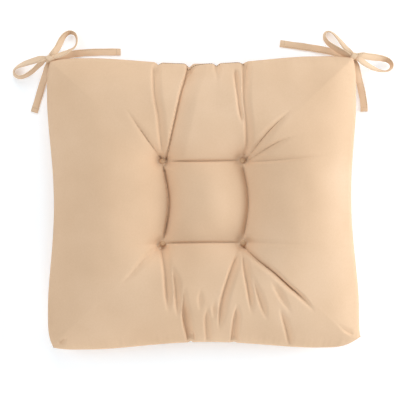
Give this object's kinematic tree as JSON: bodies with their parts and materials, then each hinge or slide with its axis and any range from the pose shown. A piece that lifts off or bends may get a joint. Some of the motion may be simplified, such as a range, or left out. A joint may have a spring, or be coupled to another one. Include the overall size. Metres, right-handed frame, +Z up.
{
  "type": "tufted seat cushion",
  "caption": "Tufted, fibre-filled seat pad with a knife-edge seam and a tape bow tied at each rear corner.",
  "frame": {"origin": "on the resting surface, under the middle of the cushion's own outline without its ties", "axes": "+Z up, +Y towards the rear edge with the ties, +X towards the right when sitting"},
  "size_m": [0.5424, 0.4493, 0.076],
  "materials": {
    "cover_cloth": "plain-weave cotton",
    "fill": "polyester fibre",
    "button_cloth": "gathered plain-weave cotton",
    "cord": "twisted waxed thread",
    "tape": "folded and topstitched cotton tape"
  },
  "bodies": {
    "cushion": {"cover_top": "cover_cloth", "cover_bottom": "cover_cloth", "fibre_fill": "fill", "tuft_button_top_rear_left": "button_cloth", "tuft_button_bottom_rear_left": "button_cloth", "tufting_cord_rear_left": "cord", "tuft_button_top_rear_right": "button_cloth", "tuft_button_bottom_rear_right": "button_cloth", "tufting_cord_rear_right": "cord", "tuft_button_top_front_left": "button_cloth", "tuft_button_bottom_front_left": "button_cloth", "tufting_cord_front_left": "cord", "tuft_button_top_front_right": "button_cloth", "tuft_button_bottom_front_right": "button_cloth", "tufting_cord_front_right": "cord", "left_tie_knot": "tape", "left_tie_root_lower": "tape", "left_tie_root_upper": "tape", "left_tie_long_tail": "tape", "right_tie_knot": "tape", "right_tie_root_lower": "tape", "right_tie_root_upper": "tape", "right_tie_long_tail": "tape"},
    "left_upper_loop": {"left_tie_upper_loop": "tape"},
    "left_side_loop": {"left_tie_side_loop": "tape"},
    "left_short_tail": {"left_tie_short_tail": "tape"},
    "right_upper_loop": {"right_tie_upper_loop": "tape"},
    "right_side_loop": {"right_tie_side_loop": "tape"},
    "right_short_tail": {"right_tie_short_tail": "tape"}
  },
  "joints": [
    {"name": "left_upper_loop_lift", "type": "hinge", "parent": "cushion", "child": "left_upper_loop", "pos_m": [-0.213, 0.202, 0.031], "axis": [1, 0, 0], "range_deg": [0, 60]},
    {"name": "left_side_loop_lift", "type": "hinge", "parent": "cushion", "child": "left_side_loop", "pos_m": [-0.213, 0.202, 0.031], "axis": [0, 1, 0], "range_deg": [0, 60]},
    {"name": "left_short_tail_lift", "type": "hinge", "parent": "cushion", "child": "left_short_tail", "pos_m": [-0.213, 0.202, 0.031], "axis": [-1, 0, 0], "range_deg": [0, 60]},
    {"name": "right_upper_loop_lift", "type": "hinge", "parent": "cushion", "child": "right_upper_loop", "pos_m": [0.213, 0.202, 0.031], "axis": [1, 0, 0], "range_deg": [0, 60]},
    {"name": "right_side_loop_lift", "type": "hinge", "parent": "cushion", "child": "right_side_loop", "pos_m": [0.213, 0.202, 0.031], "axis": [0, -1, 0], "range_deg": [0, 60]},
    {"name": "right_short_tail_lift", "type": "hinge", "parent": "cushion", "child": "right_short_tail", "pos_m": [0.213, 0.202, 0.031], "axis": [-1, 0, 0], "range_deg": [0, 60]}
  ]
}
